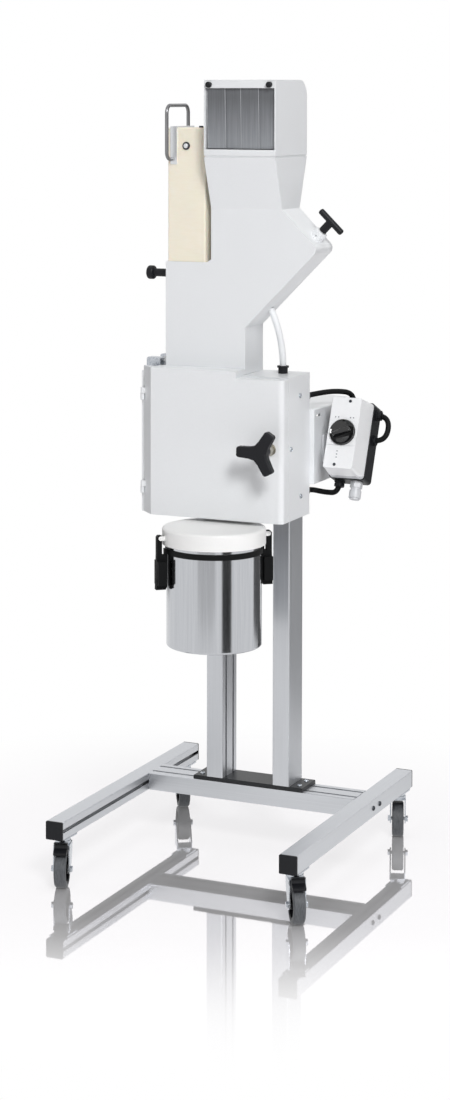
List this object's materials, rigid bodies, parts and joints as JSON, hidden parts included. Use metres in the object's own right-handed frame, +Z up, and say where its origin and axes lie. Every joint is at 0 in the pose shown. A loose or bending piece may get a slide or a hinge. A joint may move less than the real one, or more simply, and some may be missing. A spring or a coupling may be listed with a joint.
{
  "type": "cutting mill",
  "caption": "Cutting mill on a wheeled stand: front door, folding feed chute with plunger and pusher, and a clipped-on collecting vessel.",
  "frame": {"origin": "on the floor, at the middle of the stand's box", "axes": "+X to the viewer's right across the two floor rails, +Y from the door to the back, +Z up"},
  "size_m": [0.6202, 0.7364, 1.74],
  "materials": {
    "extrusion": "satin anodised",
    "black_plastic": "moulded",
    "black_steel": "powder coat",
    "white_paint": "powder coat",
    "zinc_steel": "zinc plated",
    "caster_tyre": "moulded",
    "tool_steel": "ground",
    "cast_block": "machined",
    "stainless": "brushed",
    "motor_paint": "satin",
    "cream_plastic": "machined",
    "light_grey_plastic": "moulded",
    "curtain_film": "flexible",
    "brass": "turned",
    "lead_jacket": "moulded",
    "gloss_black": "moulded"
  },
  "bodies": {
    "root": {"left_rail": "extrusion", "right_rail": "extrusion", "crossbeam": "extrusion", "left_post": "extrusion", "right_post": "extrusion", "post_plate": "black_steel", "rail_end_caps": "black_plastic", "caster_plates": "zinc_steel", "cap_screws": "zinc_steel", "mill_housing": "white_paint", "chamber_block": "cast_block", "fixed_knives": "tool_steel", "bottom_sieve": "stainless", "shaft_bearings": "tool_steel", "motor": "motor_paint", "drive_cover": "white_paint", "post_head_plate": "black_steel", "door_hinge_pins": "white_paint", "hopper_hinge": "zinc_steel", "interlock_socket": "black_plastic", "outlet_lid": "white_paint", "collector_vessel": "stainless", "clamp_band": "black_plastic", "control_base": "black_plastic", "control_cover": "light_grey_plastic", "control_bracket": "white_paint", "lead_glands": "black_plastic", "control_leads": "lead_jacket"},
    "rotor": {"rotor": "tool_steel", "rotor_shaft": "tool_steel"},
    "door": {"door": "white_paint"},
    "grip_collar": {"grip_collar": "brass"},
    "star_grip": {"star_grip": "black_plastic", "grip_spindle": "zinc_steel"},
    "hopper": {"feed_chute": "white_paint", "feed_hood": "white_paint", "hood_knobs": "black_plastic", "curtain_strips": "curtain_film", "chute_bosses": "white_paint", "interlock_rod": "white_paint"},
    "plunger": {"plunger": "cream_plastic", "plunger_bracket": "zinc_steel", "plunger_handle": "zinc_steel"},
    "index_pin": {"index_knob": "black_plastic"},
    "push_rod": {"pusher_rod": "stainless", "tee_handle": "black_plastic"},
    "front_latch": {"front_latch": "black_plastic"},
    "rear_latch": {"rear_latch": "black_plastic"},
    "switch_knob": {"switch_knob": "gloss_black"},
    "front_left_caster": {"front_left_fork": "zinc_steel"},
    "front_left_wheel": {"front_left_wheel": "caster_tyre"},
    "front_left_brake": {"front_left_brake": "black_plastic"},
    "front_right_caster": {"front_right_fork": "zinc_steel"},
    "front_right_wheel": {"front_right_wheel": "caster_tyre"},
    "front_right_brake": {"front_right_brake": "black_plastic"},
    "rear_right_caster": {"rear_right_fork": "zinc_steel"},
    "rear_right_wheel": {"rear_right_wheel": "caster_tyre"},
    "rear_left_caster": {"rear_left_fork": "zinc_steel"},
    "rear_left_wheel": {"rear_left_wheel": "caster_tyre"}
  },
  "joints": [
    {"name": "hopper_fold", "type": "hinge", "parent": "root", "child": "hopper", "pos_m": [-0.19, 0.02, 1.11], "axis": [0, -1, 0], "range_deg": [0, 90]},
    {"name": "plunger_slide", "type": "slide", "parent": "hopper", "child": "plunger", "axis": [0, 0, 1], "range_m": [-0.2, 0]},
    {"name": "index_pull", "type": "slide", "parent": "hopper", "child": "index_pin", "axis": [-1, 0, 0], "range_m": [0, 0.008], "stiffness_N_per_m": 1500, "springref_m": -0.003},
    {"name": "pusher_slide", "type": "slide", "parent": "hopper", "child": "push_rod", "axis": [0.7009, 0, 0.7132], "range_m": [0, 0.125]},
    {"name": "door_swing", "type": "hinge", "parent": "root", "child": "door", "pos_m": [-0.203, -0.056, 0.935], "axis": [0, 0, -1], "range_deg": [0, 115]},
    {"name": "grip_travel", "type": "slide", "parent": "door", "child": "grip_collar", "axis": [0, -1, 0], "range_m": [0, 0.006]},
    {"name": "grip_turn", "type": "hinge", "parent": "grip_collar", "child": "star_grip", "pos_m": [0.116, -0.144, 0.942], "axis": [0, -1, 0], "range_deg": [0, 1080]},
    {"name": "rotor_spin", "type": "hinge", "parent": "root", "child": "rotor", "pos_m": [-0.045, 0, 0.928], "axis": [0, 1, 0], "continuous": true},
    {"name": "switch_turn", "type": "hinge", "parent": "root", "child": "switch_knob", "pos_m": [0.222, 0.07509, 0.96602], "axis": [0, 0.9205, -0.3907], "range_deg": [0, 90]},
    {"name": "front_latch_swing", "type": "hinge", "parent": "root", "child": "front_latch", "pos_m": [-0.09307, -0.1981, 0.752], "axis": [-0.6428, 0.766, 0], "range_deg": [0, 95]},
    {"name": "rear_latch_swing", "type": "hinge", "parent": "root", "child": "rear_latch", "pos_m": [0.09307, -0.0419, 0.752], "axis": [0.6428, -0.766, 0], "range_deg": [0, 95]},
    {"name": "front_left_swivel", "type": "hinge", "parent": "root", "child": "front_left_caster", "pos_m": [-0.271, -0.312, 0.1], "axis": [0, 0, 1], "continuous": true},
    {"name": "front_left_roll", "type": "hinge", "parent": "front_left_caster", "child": "front_left_wheel", "pos_m": [-0.26579, -0.32713, 0.04], "axis": [0.9455, 0.3256, 0], "continuous": true},
    {"name": "front_left_brake_press", "type": "hinge", "parent": "front_left_caster", "child": "front_left_brake", "pos_m": [-0.26481, -0.32997, 0.0867], "axis": [0.9455, 0.3256, 0], "range_deg": [0, 10]},
    {"name": "front_right_swivel", "type": "hinge", "parent": "root", "child": "front_right_caster", "pos_m": [0.271, -0.312, 0.1], "axis": [0, 0, 1], "continuous": true},
    {"name": "front_right_roll", "type": "hinge", "parent": "front_right_caster", "child": "front_right_wheel", "pos_m": [0.27948, -0.32557, 0.04], "axis": [0.848, 0.5299, 0], "continuous": true},
    {"name": "front_right_brake_press", "type": "hinge", "parent": "front_right_caster", "child": "front_right_brake", "pos_m": [0.28107, -0.32811, 0.0867], "axis": [0.848, 0.5299, 0], "range_deg": [0, 10]},
    {"name": "rear_right_swivel", "type": "hinge", "parent": "root", "child": "rear_right_caster", "pos_m": [0.271, 0.312, 0.1], "axis": [0, 0, 1], "continuous": true},
    {"name": "rear_right_roll", "type": "hinge", "parent": "rear_right_caster", "child": "rear_right_wheel", "pos_m": [0.26579, 0.32713, 0.04], "axis": [-0.9455, -0.3256, 0], "continuous": true},
    {"name": "rear_left_swivel", "type": "hinge", "parent": "root", "child": "rear_left_caster", "pos_m": [-0.271, 0.312, 0.1], "axis": [0, 0, 1], "continuous": true},
    {"name": "rear_left_roll", "type": "hinge", "parent": "rear_left_caster", "child": "rear_left_wheel", "pos_m": [-0.27948, 0.32557, 0.04], "axis": [-0.848, -0.5299, 0], "continuous": true}
  ],
  "couplings": [
    {"joint": "grip_travel", "follows": "grip_turn", "m_per_rad": 0.000318}
  ]
}
